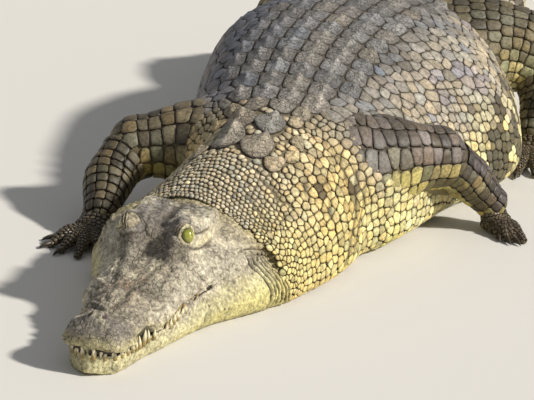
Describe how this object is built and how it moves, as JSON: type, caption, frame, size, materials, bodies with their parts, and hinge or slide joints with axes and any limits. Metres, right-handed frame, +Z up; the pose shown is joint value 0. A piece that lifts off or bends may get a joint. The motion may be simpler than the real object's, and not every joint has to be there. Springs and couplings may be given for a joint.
{
  "type": "crocodile life-size model",
  "caption": "Still life-size adult Nile crocodile lying on its belly, jaws shut, a hind leg trailing, tail in a gentle curve",
  "frame": {"origin": "centre of the model's outline in plan, at the floor it lies on", "axes": "+Z up, +Y from head to tail along the longest side, snout toward -Y, +X to the animal's left"},
  "size_m": [0.9788, 4.2734, 0.3959],
  "materials": {
    "eye": "glossy, yellow green",
    "claw": "worn horn, dark brown",
    "foot_skin": "wet scaly skin, dark brown",
    "leg_skin": "scaly skin, grey olive above and yellow below",
    "head_skin": "bony hide dusted with dried mud, tan grey",
    "jaw_skin": "smooth pale skin, cream yellow",
    "neck_skin": "pebbled skin, cream yellow with brown creases",
    "back_skin": "keeled scales, blue grey above and cream yellow on the flanks"
  },
  "bodies": {
    "root": {"chest": "back_skin", "eye_left": "eye", "eye_right": "eye", "fore_left_claw_1": "claw", "fore_left_claw_2": "claw", "fore_left_claw_3": "claw", "fore_left_foot": "foot_skin", "fore_left_lower": "leg_skin", "fore_left_upper": "leg_skin", "fore_right_claw_1": "claw", "fore_right_claw_2": "claw", "fore_right_claw_3": "claw", "fore_right_foot": "foot_skin", "fore_right_lower": "leg_skin", "fore_right_upper": "leg_skin", "head": "head_skin", "hind_left_claw_1": "claw", "hind_left_claw_2": "claw", "hind_left_claw_3": "claw", "hind_left_foot": "foot_skin", "hind_left_lower": "leg_skin", "hind_left_upper": "leg_skin", "hind_right_claw_1": "claw", "hind_right_claw_2": "claw", "hind_right_claw_3": "claw", "hind_right_foot": "foot_skin", "hind_right_lower": "leg_skin", "hind_right_upper": "leg_skin", "hips": "back_skin", "lower_jaw": "jaw_skin", "neck": "neck_skin", "tail_1": "back_skin", "tail_2": "back_skin", "tail_3": "back_skin", "tail_4": "back_skin", "trunk": "back_skin"}
  },
  "joints": []
}
